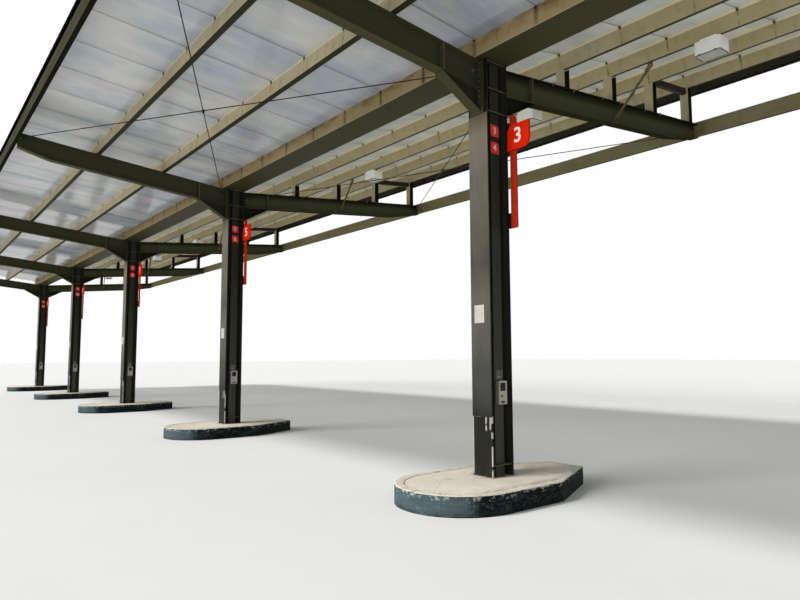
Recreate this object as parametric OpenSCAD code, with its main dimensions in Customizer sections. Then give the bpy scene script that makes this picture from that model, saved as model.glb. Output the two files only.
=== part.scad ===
// Filling station canopy: a row of steel columns on concrete islands, with cantilever
// arms on both sides and a butterfly roof of clear ribbed panels that drains into a
// middle gutter. X runs across the row, Y along it and Z up. The origin is on the
// ground under the first column.

/* [Row] */
// Number of columns in the row
column_count = 6; // [2:1:6]
// Distance between columns along the row
bay = 7300; // [6000:50:7300]
// Roof beyond the first and the last column
end_overhang = 750; // [700:10:900]

/* [Island] */
// Height of the island above the ground
island_h = 208; // [150:1:300]
// Width of the island along the row
island_w = 1370; // [1000:10:1800]
// Round nose, left of the column
island_nose = 1310; // [1000:10:1600]
// Blunt tail, right of the column
island_tail = 1210; // [1000:10:1600]
// Width of the blunt tail
island_tail_w = 480; // [300:10:900]
// How far right of the column the sides start to taper
island_taper_x = 245; // [200:5:600]
// Shift of the island towards the lane in front
island_shift = 85; // [0:5:120]
// Thickness of the kerb at the top
kerb_w = 110; // [60:5:200]
// How far the concrete lies below the kerb
slab_drop = 6; // [2:1:20]

/* [Column] */
// Depth of the column section across the row
column_depth = 340; // [280:5:400]
// Width of the column flanges
column_width = 300; // [240:5:300]
// Thickness of the column flanges
column_flange_t = 18; // [12:1:24]
// Thickness of the column web
column_web_t = 11; // [8:1:16]
// Height of the column top and of the gutter bed
column_top = 5000; // [4700:10:5400]
// Width of the flange of each tee on the web
tee_w = 145; // [100:5:180]
// How far the face of each tee lies inside the edges of the column flanges
tee_inset = 50; // [20:5:70]
// Thickness of the tees
tee_t = 12; // [8:1:16]
// Height of the light plate near the column foot
foot_plate_z = 320; // [260:5:500]
// Thickness of the horizontal plates between the flanges
column_plate_t = 12; // [8:1:16]
// Lower end of the smooth cover on the left flange
cover_z = 860; // [600:10:1200]
// Thickness of that cover
cover_t = 4; // [2:1:6]

/* [Arms] */
// Depth of the arms
arm_depth = 335; // [300:5:400]
// Setback of the arm flanges from the edges of the column flanges
arm_setback = 80; // [60:5:90]
// Thickness of the arm flanges
arm_flange_t = 13; // [8:1:18]
// Thickness of the arm webs
arm_web_t = 9; // [6:1:12]
// Drop of the arm's top edge below the column top, at the column
arm_drop = 15; // [10:1:40]
// Rise of the left arms, in degrees
left_slope = 6; // [3:0.5:9]
// Rise of the right arms, in degrees
right_slope = 5; // [3:0.5:8]
// End of the left arms, from the column line
left_tip = 3940; // [3700:10:4200]
// End of the right arms, from the column line
right_tip = 4990; // [4940:10:5200]
// Length of the shallower tip of a left arm
left_taper = 500; // [300:10:800]
// Length of the shallower tip of a right arm
right_taper = 900; // [300:10:1200]
// Depth at the tip of an arm
tip_depth = 245; // [180:5:280]
// End of the haunch, from the column line
haunch_end = 775; // [600:5:1000]
// Depth of the haunch below the arm, at the column
haunch_depth = 275; // [150:5:320]
// Thickness of the end plates
end_plate_t = 20; // [12:1:30]
// How far the end plates pass the arm flanges on each side
end_plate_margin = 35; // [20:5:40]

/* [Purlins] */
// Depth of the purlins
purlin_h = 200; // [160:5:240]
// Width of the purlins
purlin_w = 76; // [60:4:100]
// Wall of the purlins
purlin_t = 6; // [4:1:8]
// Height of the seat strip on the purlins
seat_h = 18; // [10:1:30]
// Width of that strip
seat_w = 30; // [20:1:60]
// Left purlin nearer the column, from the column line
left_inner_x = 1515; // [1300:5:1700]
// Left purlin further out
left_outer_x = 2695; // [2400:5:3000]
// First right purlin, from the column line
right_first_x = 1400; // [1200:10:1500]
// Distance between right purlins
right_pitch = 1100; // [950:10:1120]
// Number of right purlins
right_count = 4; // [4:1:4]
// Rise of the right roof, in degrees
right_roof_slope = 10.7; // [9:0.1:12]
// Height of the first post at its left face
first_post_h = 245; // [200:5:400]
// Depth of the posts across the row
post_depth = 108; // [80:2:110]
// How far the posts lie inside the edges of the arm flanges
post_inset = 0; // [0:5:30]
// Thickness of the post plates
post_t = 9; // [6:1:12]

/* [Gutter] */
// Left edge of the gutter, from the column line
gutter_left = 280; // [240:5:340]
// Right edge of the gutter, from the column line
gutter_right = 205; // [200:5:300]
// Wall of the gutter
gutter_t = 6; // [4:1:10]
// Upper edge of the flashing beside the gutter, from the column line
apron_x = 400; // [350:10:600]
// Thickness of the flashing
apron_t = 3; // [2:1:5]
// Step of the flashing from the gutter wall to its fold
apron_lip = 14; // [6:1:30]
// Length of the fold that hangs into the gutter
apron_drop = 90; // [60:5:140]

/* [Roof edges] */
// Depth of the bar along the left arm tips
left_bar_h = 165; // [120:5:300]
// Depth of the bar along the right arm tips
right_bar_h = 245; // [200:5:300]
// Thickness of the bars along the arm tips
tip_bar_w = 60; // [40:5:80]
// How far the right bar stands above the arm tips
right_bar_up = 38; // [0:1:60]
// Wall of the bars along the arm tips
tip_bar_t = 5; // [4:1:8]
// Left edge channel, width of its flanges
edge_channel_w = 90; // [60:5:100]
// Lips of that channel
edge_lip = 45; // [20:5:60]
// Roof beyond the last right purlin
right_eaves = 770; // [600:10:850]
// Width of the right edge beam
right_edge_w = 225; // [150:5:260]
// Height of the edge trim
trim_h = 70; // [50:5:100]
// Thickness of the edge trim
trim_t = 3; // [2:1:5]

/* [Roof panels] */
// Panels in one bay
panels_per_bay = 8; // [6:1:10]
// Thickness of the panels
panel_t = 16; // [10:1:20]
// Width of the glazing bars' caps
bar_w = 44; // [30:1:60]
// Thickness of the stem between two panels
bar_stem = 8; // [4:1:10]
// Height of the cap over two panels
bar_cap_t = 14; // [3:1:20]
// Play between a panel and the bars
panel_play = 2; // [1:0.5:4]
// How far the left glazing bars stand before the column lines
left_bar_shift = 65; // [0:5:100]
// How far the right glazing bars stand before the column lines
right_bar_shift = 20; // [0:5:100]

/* [Bracing] */
// Diameter of the bracing rods
rod_d = 14; // [10:1:20]
// Bay that holds the crossed rods, counted from the origin
braced_bay = 2; // [1:1:5]
// Inner ends of the crossed rods, from the column line
rod_root = 270; // [250:5:700]
// Depth of those ends below the top of the arm
rod_root_drop = 125; // [60:5:200]
// Outer ends of the left crossed rods, from the arm tips
left_rod_inset = 60; // [50:5:400]
// Depth of those ends below the top of the arm
left_rod_drop = 70; // [40:5:100]
// Outer ends of the right crossed rods, from the arm tips
right_rod_inset = 80; // [50:5:400]
// Depth of those ends below the top of the arm
right_rod_drop = 130; // [40:5:150]
// Distance from the inner end of a rod to its turnbuckle
turnbuckle_at = 120; // [100:10:1500]
// Length of the turnbuckles
turnbuckle_l = 160; // [100:5:300]
// Diameter of the turnbuckles
turnbuckle_d = 30; // [24:1:50]
// Diameter of the disc where two rods cross
cross_disc_d = 38; // [30:2:80]
// Length of the gussets of the crossed rods
gusset_l = 90; // [60:5:120]
// Thickness of the gussets and lugs
gusset_t = 10; // [6:1:14]
// Foot of a purlin stay, right of the purlin's left face
stay_foot_x = 150; // [80:5:250]
// Head of a purlin stay, right of that face
stay_head_x = 50; // [20:5:55]
// Depth of that foot below the top of the arm
stay_drop = 215; // [150:5:260]
// Reach of a purlin stay along the row
stay_y = 640; // [400:10:680]
// Size of the lugs of a purlin stay
stay_lug = 70; // [50:5:90]
// Diameter of the purlin stays
stay_d = 36; // [20:1:50]
// Length of the forks at the ends of a stay
fork_l = 75; // [60:5:120]
// Width of the forks
fork_w = 52; // [40:2:70]
// Thickness of the fork plates
fork_t = 8; // [5:1:12]
// Diameter of the pins through the forks
pin_d = 20; // [12:1:26]

/* [Signs] */
// Width of a number plate
plate_w = 137; // [100:1:145]
// Height of a number plate
plate_h = 139; // [100:1:160]
// Height of the lower plate's middle
plate_z = 3966; // [3600:1:4100]
// Distance between the two number plates
plate_pitch = 205; // [180:1:260]
// Width of a lane flag
flag_w = 325; // [250:5:400]
// Height of a lane flag
flag_h = 300; // [250:5:400]
// Lower edge of a lane flag
flag_z = 3935; // [3700:5:4100]
// Thickness of a lane flag
flag_t = 30; // [20:1:40]
// Width of the upright strip behind a flag
strip_w = 88; // [60:1:120]
// Length of the upright strip
strip_h = 1350; // [1200:10:1600]
// Lower end of the upright strip
strip_z = 3020; // [2700:10:3200]
// Thickness of the upright strip
strip_t = 25; // [20:1:40]
// Gap between the column flange and a flag
flag_gap = 25; // [15:1:35]
// Gap between the column flange and the strip
strip_gap = 38; // [30:1:60]
// How far the front of the strip lies inside the outer face of the flange
sign_overlap = 5; // [2:1:10]
// Height of the blocks that hold the strip
strip_block_h = 180; // [100:5:250]
// Corner radius of plates and flags, as a part of their smaller side
leaf_round = 0.32; // [0.1:0.01:0.45]
// Corner radius at the strip's head, as a part of its width
strip_round = 0.7; // [0.2:0.05:0.95]

/* [Fittings] */
// Width of the lamp housings
lamp_w = 250; // [180:5:300]
// Length of the lamp housings
lamp_l = 335; // [250:5:400]
// Height of the lamp housings
lamp_h = 200; // [150:5:260]
// Lamps on each side of a column, from its middle
lamp_y = 1480; // [1200:10:1800]
// Drop of the lamps below the purlin
lamp_drop = 20; // [10:1:60]
// Wall of the lamp housings
lamp_wall = 12; // [6:1:20]
// Corner radius of the lamp housings
lamp_round = 28; // [14:1:60]
// Thickness of the lamp glasses
lamp_glass_t = 10; // [6:1:16]
// Width of the notice plate
notice_w = 152; // [120:1:200]
// Height of the notice plate
notice_h = 205; // [160:1:260]
// Lower edge of the notice plate
notice_z = 1915; // [1600:5:2200]
// Distance of the notice plate from the front edge of the flange
notice_margin = 90; // [20:1:120]
// Width of the call box
call_w = 130; // [100:1:140]
// Height of the call box
call_h = 262; // [200:1:320]
// Depth of the call box
call_t = 50; // [30:1:80]
// Lower edge of the call box
call_z = 996; // [900:1:1200]
// Shift of the call box across the row
call_x = 16; // [-20:1:30]

/* [Hidden] */

steel = "#4a4636";
lit_steel = "#8a7f63";
aluminium = "#c9ccce";
concrete = "#b8b2a4";
kerb_blue = "#22343b";
signal_red = "#c22a1e";
clear_sheet = "#aeb4b8";

row_length = (column_count - 1) * bay;
roof_y0 = -end_overhang;
roof_y1 = row_length + end_overhang;
roof_length = roof_y1 - roof_y0;
column_ys = [for (k = [0 : column_count - 1]) k * bay];
island_top = island_h - slab_drop;
half_depth = column_depth / 2;
tee_face = column_width / 2 - tee_inset;
arm_root = half_depth + end_plate_t;
arm_root_z = column_top - arm_drop;
joint_gap = 0.3;
arm_width = column_width - 2 * arm_setback;
end_plate_w = arm_width + 2 * end_plate_margin;
post_width = arm_width - 2 * post_inset;
roof_seat_h = purlin_h + seat_h;
coarse_facets = 16;
corner_facets = 32;
round_facets = 48;
kerb_facets = 64;

// Top edge of the arms, at a distance d from the column line
function left_top(d) = arm_root_z + (d - half_depth) * tan(left_slope);
function right_top(d) = arm_root_z + (d - half_depth) * tan(right_slope);
// Seat of the right purlins, at a distance d from the column line
function right_seat(d) = right_top(right_first_x) + first_post_h
    + (d - right_first_x) * tan(right_roof_slope);
// Upright height over a roof slope of a layer that is h thick
function upright(h, slope) = h / cos(slope);

haunch_low = arm_root_z - arm_depth - haunch_depth;

// A flat shape drawn in X and Z, with its middle plane at y
module across_at(y, thickness) {
    translate([0, y + thickness / 2, 0]) rotate([90, 0, 0]) linear_extrude(thickness) children();
}

// A flat shape drawn in X and Z, running along the row from y0 for a length
module along_row(y0, length) {
    translate([0, y0 + length, 0]) rotate([90, 0, 0]) linear_extrude(length) children();
}

module at_columns() {
    for (y = column_ys) translate([0, y, 0]) children();
}

// The outline of an island, grown inwards by inset
module island_outline(inset) {
    r = island_w / 2 - inset;
    tail = island_tail - inset;
    half_tail = island_tail_w / 2 - inset / 2;
    translate([0, -island_shift]) {
        intersection() {
            translate([-island_nose + island_w / 2, 0]) circle(r, $fn = kerb_facets);
            translate([-island_nose, -island_w]) square([island_w / 2, 2 * island_w]);
        }
        polygon([
            [-island_nose + island_w / 2, -r], [island_taper_x, -r], [tail, -half_tail],
            [tail, half_tail], [island_taper_x, r], [-island_nose + island_w / 2, r]
        ]);
    }
}

module island_kerbs() {
    color(kerb_blue) at_columns() linear_extrude(island_h) difference() {
        island_outline(0);
        island_outline(kerb_w);
    }
}

module island_slabs() {
    color(concrete) at_columns() linear_extrude(island_top) island_outline(kerb_w);
}

module h_outline(depth, width, flange_t, web_t) {
    for (side = [-1, 1])
        translate([side * (depth - flange_t) / 2, 0]) square([flange_t, width], center = true);
    square([depth - flange_t, web_t], center = true);
}

module tee_outline(side) {
    face = side * (tee_face - tee_t / 2);
    root = side * column_web_t / 2;
    translate([0, face]) square([tee_w, tee_t], center = true);
    translate([-tee_t / 2, min(root, face)]) square([tee_t, abs(face - root)]);
}

module columns() {
    color(steel) at_columns() translate([0, 0, island_top])
        linear_extrude(column_top - island_top)
        h_outline(column_depth, column_width, column_flange_t, column_web_t);
}

module column_tees() {
    color(steel) at_columns() translate([0, 0, island_top]) linear_extrude(column_top - island_top)
        for (side = [-1, 1]) tee_outline(side);
}

// Plates between the column flanges: near the foot, at the haunches and at the arms
module column_plates() {
    inner = column_depth - 2 * column_flange_t;
    levels = [foot_plate_z, haunch_low, arm_root_z - arm_depth, arm_root_z - column_plate_t];
    color(lit_steel) at_columns() for (z = levels) translate([0, 0, z]) linear_extrude(column_plate_t)
        difference() {
            square([inner, column_width - 2 * column_plate_t], center = true);
            square([column_depth, column_web_t], center = true);
            for (side = [-1, 1]) tee_outline(side);
        }
}

module column_covers() {
    height = haunch_low - end_plate_t - cover_z;
    color(lit_steel) at_columns() translate([-half_depth - cover_t, -column_width / 2, cover_z])
        cube([cover_t, column_width, height]);
}

// One arm to the right of the column line; the left arms are mirrored
module arm(tip, slope, taper) {
    rise = tan(slope);
    top0 = arm_root_z + (arm_root - half_depth) * rise;
    top1 = arm_root_z + (tip - half_depth) * rise;
    kink = tip - taper;
    kink_z = arm_root_z + (kink - half_depth) * rise - arm_depth;
    t = arm_flange_t;
    across_at(0, arm_web_t) polygon([
        [arm_root, top0 - t], [tip, top1 - t], [tip, top1 - tip_depth + t],
        [kink, kink_z + t], [arm_root, top0 - arm_depth + t]
    ]);
    across_at(0, arm_width) {
        polygon([[arm_root, top0], [tip, top1], [tip, top1 - t], [arm_root, top0 - t]]);
        polygon([
            [arm_root, top0 - arm_depth], [kink, kink_z], [tip, top1 - tip_depth],
            [tip, top1 - tip_depth + t], [kink, kink_z + t], [arm_root, top0 - arm_depth + t]
        ]);
    }
}

module left_arms() {
    color(steel) at_columns() mirror([1, 0, 0]) arm(left_tip, left_slope, left_taper);
}

module right_arms() {
    color(steel) at_columns() arm(right_tip, right_slope, right_taper);
}

// The wedge under the root of an arm
module haunch(slope) {
    rise = tan(slope);
    root_z = arm_root_z + (arm_root - half_depth) * rise - arm_depth;
    end_z = arm_root_z + (haunch_end - half_depth) * rise - arm_depth;
    t = arm_flange_t;
    across_at(0, arm_web_t) polygon([[arm_root, root_z], [haunch_end, end_z], [arm_root, haunch_low + t]]);
    across_at(0, arm_width) polygon([
        [arm_root, haunch_low], [haunch_end, end_z - t], [haunch_end, end_z], [arm_root, haunch_low + t]
    ]);
}

module left_haunches() {
    color(steel) at_columns() mirror([1, 0, 0]) haunch(left_slope);
}

module right_haunches() {
    color(steel) at_columns() haunch(right_slope);
}

// Upright plates in the arms over the ends of the haunches
module arm_stiffeners() {
    inset = 2 * arm_flange_t;
    x = haunch_end - inset;
    half_web = arm_web_t / 2;
    reach = (arm_width - arm_web_t) / 2;
    color(steel) at_columns() for (left = [0, 1]) mirror([left, 0, 0]) {
        slope = left == 1 ? left_slope : right_slope;
        top = arm_root_z + (x - half_depth) * tan(slope);
        shift = arm_flange_t * tan(slope);
        for (side = [-1, 1]) across_at(side * (half_web + reach / 2), reach) polygon([
            [x, top - arm_depth + arm_flange_t], [x, top - arm_flange_t],
            [x + arm_flange_t, top - arm_flange_t + shift],
            [x + arm_flange_t, top - arm_depth + arm_flange_t + shift]
        ]);
    }
}

module end_plates() {
    color(steel) at_columns() for (left = [0, 1]) mirror([left, 0, 0])
        translate([half_depth, -end_plate_w / 2, haunch_low - end_plate_t])
        cube([end_plate_t, end_plate_w, arm_root_z + end_plate_t - haunch_low]);
}

// Left face of a right purlin, counted from 0
function purlin_x(i) = right_first_x + i * right_pitch;

// A post between an arm and the underside of a right purlin
module post(x) {
    for (x0 = [x, x + post_depth - post_t]) across_at(0, post_width) post_plate(x0, x0 + post_t);
    across_at(0, post_t) post_plate(x + post_t, x + post_depth - post_t);
}

module post_plate(x0, x1) {
    polygon([[x0, right_top(x0)], [x0, right_seat(x0)], [x1, right_seat(x1)], [x1, right_top(x1)]]);
}

module purlin_posts() {
    color(lit_steel) at_columns() for (i = [0 : right_count - 1]) post(purlin_x(i));
}

// Short struts at the outermost posts: inwards to the next purlin, outwards to the edge beam
module post_struts() {
    last = purlin_x(right_count - 1);
    inner0 = purlin_x(right_count - 2) + purlin_w * cos(right_roof_slope) + joint_gap;
    outer1 = edge_x0 - joint_gap;
    depth = purlin_h / 2;
    color(lit_steel) at_columns() {
        across_at(0, post_width / 2) polygon([
            [inner0, right_seat(inner0) + depth], [last, right_seat(last)],
            [last, right_seat(last) - depth], [inner0, right_seat(inner0)]
        ]);
        across_at(0, post_width / 2) polygon([
            [last + post_depth, right_seat(last + post_depth)],
            [outer1 - depth * tan(right_roof_slope), right_seat(outer1) + depth],
            [outer1, right_seat(outer1)], [last + post_depth, right_seat(last + post_depth) - depth]
        ]);
    }
}

module box_outline(width, height, wall) {
    difference() {
        square([width, height]);
        translate([wall, wall]) square([width - 2 * wall, height - 2 * wall]);
    }
}

// A hollow purlin turned with the roof about its lower corner nearest the column; the seat
// strip on it starts at seat_x
module purlin(slope, seat_x) {
    along_row(roof_y0, roof_length) rotate(slope) {
        box_outline(purlin_w, purlin_h, purlin_t);
        translate([seat_x, purlin_h]) square([seat_w, seat_h]);
    }
}

module left_purlins() {
    color(lit_steel) mirror([1, 0, 0]) for (x = [left_inner_x, left_outer_x])
        translate([x - purlin_w, 0, left_top(x - purlin_w)]) purlin(left_slope, purlin_w - seat_w);
}

module right_purlin(i) {
    color(lit_steel) translate([purlin_x(i), 0, right_seat(purlin_x(i))])
        purlin(right_roof_slope, 0);
}

module right_purlin_1() { right_purlin(0); }
module right_purlin_2() { right_purlin(1); }
module right_purlin_3() { right_purlin(2); }
module right_purlin_4() { right_purlin(3); }

// Underside of the panels and the glazing bars on each side
function left_bar_z(d) = left_top(d) + upright(roof_seat_h, left_slope);
function right_bar_z(d) = right_seat(d) + upright(roof_seat_h, right_roof_slope);

gutter_left_in = gutter_left - gutter_t;
gutter_right_in = gutter_right - gutter_t;

// Open trough on the column tops, closed at both ends
module valley_gutter() {
    t = gutter_t;
    color(lit_steel) {
        along_row(roof_y0, roof_length) polygon([
            [-gutter_left, column_top], [gutter_right, column_top],
            [gutter_right, right_bar_z(gutter_right)], [gutter_right_in, right_bar_z(gutter_right_in)],
            [gutter_right_in, column_top + t], [-gutter_left_in, column_top + t],
            [-gutter_left_in, left_bar_z(gutter_left_in)], [-gutter_left, left_bar_z(gutter_left)]
        ]);
        for (y = [roof_y0, roof_y1 - t]) along_row(y, t) polygon([
            [-gutter_left, column_top], [gutter_right, column_top],
            [gutter_right, left_bar_z(gutter_left_in)], [-gutter_left, left_bar_z(gutter_left_in)]
        ]);
    }
}

// Folded flashing on the caps of the left bars, over the panels' ends and down into the gutter
module gutter_aprons() {
    stack = upright(panel_t + panel_play + bar_cap_t, left_slope);
    fold = gutter_left_in - apron_lip;
    z0 = left_bar_z(fold) + stack;
    z1 = left_bar_z(apron_x) + stack;
    color(lit_steel) along_row(roof_y0, roof_length) polygon([
        [-apron_x, z1], [-fold, z0], [-fold, z0 - apron_drop],
        [-fold + apron_t, z0 - apron_drop], [-fold + apron_t, z0 + apron_t],
        [-apron_x, z1 + apron_t]
    ]);
}

module left_tip_bar() {
    z1 = left_top(left_tip);
    color(steel) along_row(roof_y0, roof_length) translate([-left_tip - tip_bar_w, z1 - left_bar_h])
        box_outline(tip_bar_w, left_bar_h, tip_bar_t);
}

module right_tip_bar() {
    z1 = right_top(right_tip) + right_bar_up;
    color(lit_steel) along_row(roof_y0, roof_length) translate([right_tip, z1 - right_bar_h])
        box_outline(tip_bar_w, right_bar_h, tip_bar_t);
}

// Lipped channel along the left edge, open outwards
module left_edge_channel() {
    inner = left_tip + tip_bar_w - edge_channel_w - trim_t;
    w = edge_channel_w;
    h = roof_seat_h;
    t = purlin_t;
    color(steel) mirror([1, 0, 0]) along_row(roof_y0, roof_length)
        translate([inner, left_top(inner)]) rotate(left_slope) polygon([
            [0, 0], [w, 0], [w, edge_lip], [w - t, edge_lip], [w - t, t], [t, t],
            [t, h - t], [w - t, h - t], [w - t, h - edge_lip], [w, h - edge_lip], [w, h], [0, h]
        ]);
}

edge_x0 = purlin_x(right_count - 1) + right_eaves - right_edge_w;

// Folded beam along the right edge, under the ends of the glazing bars
module right_edge_beam() {
    color(steel) along_row(roof_y0, roof_length) translate([edge_x0, right_seat(edge_x0)])
        rotate(right_roof_slope) box_outline(right_edge_w, roof_seat_h, purlin_t);
}

left_edge_x = left_tip + tip_bar_w - trim_t;
right_edge_x = edge_x0 + right_edge_w * cos(right_roof_slope) + purlin_h * sin(right_roof_slope) / 2;

// White trims that close the outer edges of the panels
module edge_trims() {
    left_z = left_bar_z(left_edge_x) + upright(panel_t, left_slope);
    right_z = right_bar_z(right_edge_x) + upright(panel_t, right_roof_slope);
    color("white") along_row(roof_y0, roof_length) {
        translate([-left_edge_x - trim_t, left_z - trim_h]) square([trim_t, trim_h]);
        translate([right_edge_x, right_z - trim_h]) square([trim_t, trim_h]);
    }
}

panel_pitch = bay / panels_per_bay;

// Places of the glazing bars along the row; shift moves all but the end ones
function bar_ys(shift) = [roof_y0 + bar_w / 2,
    for (k = [0 : (column_count - 1) * panels_per_bay]) k * panel_pitch - shift, roof_y1 - bar_w / 2];

// A glazing bar in its own roof plane: stem between the panels and cap over them
module bar_outline() {
    translate([-bar_stem / 2, 0]) square([bar_stem, panel_t + panel_play]);
    translate([-bar_w / 2, panel_t + panel_play]) square([bar_w, bar_cap_t]);
}

module sloped_bars(x0, x1, z0, slope, shift) {
    length = (x1 - x0) / cos(slope);
    for (y = bar_ys(shift)) translate([x0, y, z0]) rotate([0, -slope, 0])
        rotate([90, 0, 90]) linear_extrude(length) bar_outline();
}

module sloped_panels(x0, x1, z0, slope, shift) {
    length = (x1 - x0) / cos(slope);
    clear = bar_stem / 2 + panel_play;
    ys = bar_ys(shift);
    for (i = [0 : len(ys) - 2])
        translate([x0, ys[i] + clear, z0]) rotate([0, -slope, 0])
        cube([length, ys[i + 1] - ys[i] - 2 * clear, panel_t]);
}

module left_glazing_bars() {
    color(aluminium) mirror([1, 0, 0])
        sloped_bars(gutter_left_in, left_edge_x, left_bar_z(gutter_left_in), left_slope, left_bar_shift);
}

module right_glazing_bars() {
    color(aluminium)
        sloped_bars(gutter_right_in, right_edge_x, right_bar_z(gutter_right_in), right_roof_slope,
            right_bar_shift);
}

module left_panels() {
    color(clear_sheet, 0.7) mirror([1, 0, 0])
        sloped_panels(gutter_left_in, left_edge_x, left_bar_z(gutter_left_in), left_slope, left_bar_shift);
}

module right_panels() {
    color(clear_sheet, 0.7)
        sloped_panels(gutter_right_in, right_edge_x, right_bar_z(gutter_right_in), right_roof_slope,
            right_bar_shift);
}

// Moves what stands on the origin to a, pointing along v
module pointing(a, v) {
    translate(a) rotate([0, acos(v[2] / norm(v)), atan2(v[1], v[0])]) children();
}

// One crossed rod with a gusset at each arm web; a is its inner end, b its outer end
module roof_rod(y0, a, y1, b) {
    side = sign(y1 - y0);
    half = gusset_l / 2;
    start = [a[0], y0 + side * half, a[1]];
    way = [b[0], y1 - side * half, b[1]] - start;
    for (middle = [start, start + way])
        translate(middle) cube([gusset_l, gusset_l, gusset_t], center = true);
    pointing(start, way) {
        cylinder(h = norm(way), d = rod_d, $fn = coarse_facets);
        translate([0, 0, turnbuckle_at]) cylinder(h = turnbuckle_l, d = turnbuckle_d, $fn = coarse_facets);
    }
}

// Crossed rods in one bay, on both sides, between the arm webs, joined by a disc
module roof_rods() {
    y0 = (braced_bay - 1) * bay + arm_web_t / 2;
    y1 = braced_bay * bay - arm_web_t / 2;
    left_out = left_tip - left_rod_inset;
    right_out = right_tip - right_rod_inset;
    left_in_z = left_top(rod_root) - rod_root_drop;
    right_in_z = right_top(rod_root) - rod_root_drop;
    pairs = [
        [[-rod_root, left_in_z], [-left_out, left_top(left_out) - left_rod_drop]],
        [[rod_root, right_in_z], [right_out, right_top(right_out) - right_rod_drop]]
    ];
    over = [0, rod_d + 2 * joint_gap];
    color(steel) for (pair = pairs) {
        roof_rod(y0, pair[0], y1, pair[1]);
        roof_rod(y1, pair[0] - over, y0, pair[1] - over);
        middle = (pair[0] + pair[1]) / 2;
        translate([middle[0], (y0 + y1) / 2, middle[1] - over[1] - rod_d])
            cylinder(h = over[1] + 2 * rod_d, d = cross_disc_d, $fn = coarse_facets);
    }
}

// The fork at the end of a stay, over a lug that stands in the plane of Y and Z
module stay_fork() {
    half = fork_w / 2;
    for (side = [-1, 1]) translate([side * (gusset_t + fork_t) / 2 - fork_t / 2, 0, 0])
        rotate([90, 0, 90]) linear_extrude(fork_t) {
            circle(half, $fn = coarse_facets);
            translate([-half, 0]) square([fork_w, fork_l]);
        }
    translate([0, 0, fork_l]) cylinder(h = fork_w / 2, d1 = fork_w, d2 = stay_d, $fn = coarse_facets);
    reach = gusset_t + 4 * fork_t;
    translate([-reach / 2, 0, 0]) rotate([0, 90, 0]) cylinder(h = reach, d = pin_d, $fn = coarse_facets);
}

// Slanted stays from the right arm webs to the underside of the second purlin
module purlin_stays() {
    foot_x = purlin_x(1) + stay_foot_x;
    head_x = purlin_x(1) + stay_head_x;
    web = arm_web_t / 2;
    half_t = gusset_t / 2;
    foot = [foot_x, -web - stay_lug / 2, right_top(foot_x) - stay_drop];
    head = [head_x, -stay_y, right_seat(head_x) - stay_lug * 2 / 3];
    way = head - foot;
    lean = atan2(way[1], way[2]);
    color(steel) at_columns() {
        translate([foot_x - half_t, -web - stay_lug, foot[2] - stay_lug / 2])
            cube([gusset_t, stay_lug, stay_lug]);
        across_at(-stay_y, stay_lug) polygon([
            [head_x - half_t, right_seat(head_x - half_t)], [head_x + half_t, right_seat(head_x + half_t)],
            [head_x + half_t, head[2] - stay_lug / 3], [head_x - half_t, head[2] - stay_lug / 3]
        ]);
        translate(foot) rotate([-lean, 0, 0]) stay_fork();
        translate(head) rotate([180 - lean, 0, 0]) stay_fork();
        pointing(foot + way * (fork_l / norm(way)), way)
            cylinder(h = norm(way) - 2 * fork_l, d = stay_d, $fn = coarse_facets);
    }
}

// A plate with its lower left and upper right corners rounded
module leaf_outline(width, height) {
    r = min(width, height) * leaf_round;
    difference() {
        square([width, height]);
        square(r);
        translate([width - r, height - r]) square(r);
    }
    translate([r, r]) circle(r, $fn = round_facets);
    translate([width - r, height - r]) circle(r, $fn = round_facets);
}

module number_plates() {
    color(signal_red) at_columns() for (z = [plate_z, plate_z + plate_pitch])
        translate([-plate_w / 2, 0, z - plate_h / 2]) across_at(-tee_face - cover_t / 2, cover_t)
        leaf_outline(plate_w, plate_h);
}

flag_y = -column_width / 2 - flag_gap;
strip_y = -column_width / 2 - strip_gap;
strip_x = half_depth - sign_overlap;

module lane_flags() {
    color(signal_red) at_columns() translate([strip_x - flag_t, flag_y - flag_w, flag_z])
        rotate([90, 0, 90]) linear_extrude(flag_t) leaf_outline(flag_w, flag_h);
}

module light_strips() {
    round_r = strip_w * strip_round;
    color(signal_red) at_columns() translate([strip_x, strip_y - strip_w, strip_z])
        rotate([90, 0, 90]) linear_extrude(strip_t) {
            difference() {
                square([strip_w, strip_h]);
                translate([0, strip_h - round_r]) square(round_r);
            }
            intersection() {
                translate([round_r, strip_h - round_r]) circle(round_r, $fn = round_facets);
                translate([0, strip_h - round_r]) square(round_r);
            }
        }
}

// Blocks between the flange edge and the strip, near its foot and its head
module strip_brackets() {
    color("black") at_columns() for (z = [strip_z, strip_z + strip_h - strip_block_h - strip_w])
        translate([strip_x, strip_y, z]) cube([strip_t, strip_gap, strip_block_h]);
}

module notice_plates() {
    color("white") at_columns()
        translate([-half_depth - 2 * cover_t, notice_margin - column_width / 2, notice_z])
        cube([cover_t, notice_w, notice_h]);
}

module call_boxes() {
    color(aluminium) at_columns() translate([call_x - call_w / 2, -tee_face - call_t, call_z])
        cube([call_w, call_t, call_h]);
}

lamp_x = purlin_x(1) + purlin_w / 2;
lamp_z = right_seat(purlin_x(1)) - lamp_drop - lamp_h;
lamp_ys = [for (y = column_ys, side = [-1, 1])
    let (place = y + side * lamp_y) if (place > roof_y0 && place < roof_y1) place];

// A lamp's outline with rounded corners, grown inwards by inset
module lamp_outline(inset) {
    r = lamp_round - inset;
    half_w = lamp_w / 2 - lamp_round;
    half_l = lamp_l / 2 - lamp_round;
    for (x = [-half_w, half_w], y = [-half_l, half_l])
        translate([x, y]) circle(r, $fn = corner_facets);
    square([2 * half_w, lamp_l - 2 * inset], center = true);
    square([lamp_w - 2 * inset, 2 * half_l], center = true);
}

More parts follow.
